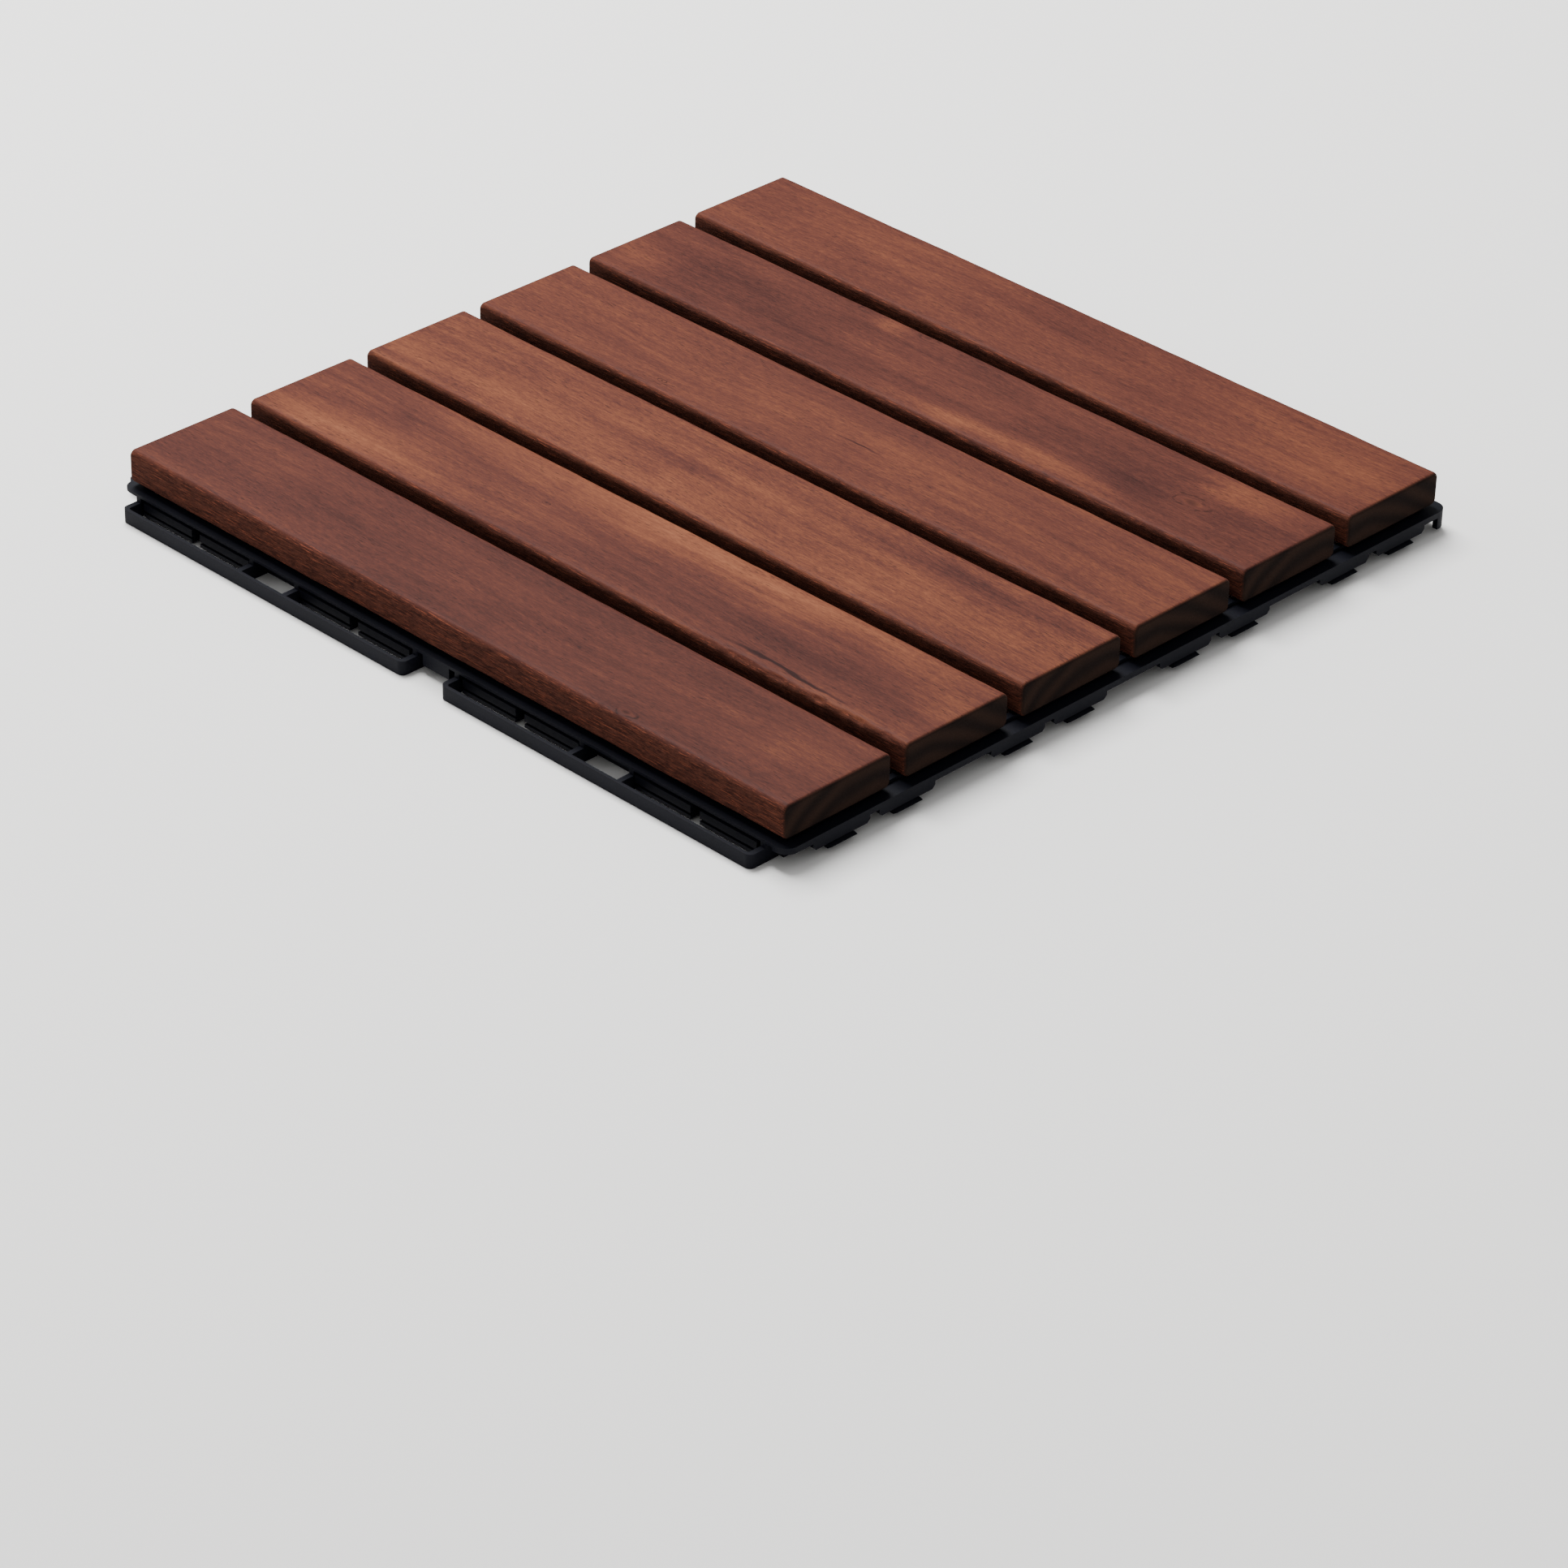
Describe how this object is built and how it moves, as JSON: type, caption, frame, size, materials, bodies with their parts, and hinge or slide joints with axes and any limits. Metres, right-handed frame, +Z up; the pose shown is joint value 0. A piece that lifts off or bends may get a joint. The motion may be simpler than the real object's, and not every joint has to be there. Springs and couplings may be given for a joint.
{
  "type": "interlocking deck tile",
  "caption": "Square interlocking outdoor deck tile: parallel hardwood slats screwed from beneath to a ribbed plastic grid with snap tabs on two sides and socket loops on the other two",
  "frame": {"origin": "on the ground under the middle of the slatted square, on the underside of the centre foot", "axes": "+Z up out of the walking surface; the slats run along X; snap tabs on the +X and +Y sides, socket loops on the -X and -Y sides"},
  "size_m": [0.3126, 0.3126, 0.021],
  "materials": {
    "slat_wood": "oiled, satin",
    "grid_plastic": "moulded, fine grained",
    "screw_steel": "zinc plated"
  },
  "bodies": {
    "root": {"base_grid": "grid_plastic", "slat_1": "slat_wood", "slat_1_screws": "screw_steel", "slat_2": "slat_wood", "slat_2_screws": "screw_steel", "slat_3": "slat_wood", "slat_3_screws": "screw_steel", "slat_4": "slat_wood", "slat_4_screws": "screw_steel", "slat_5": "slat_wood", "slat_5_screws": "screw_steel", "slat_6": "slat_wood", "slat_6_screws": "screw_steel"}
  },
  "joints": []
}
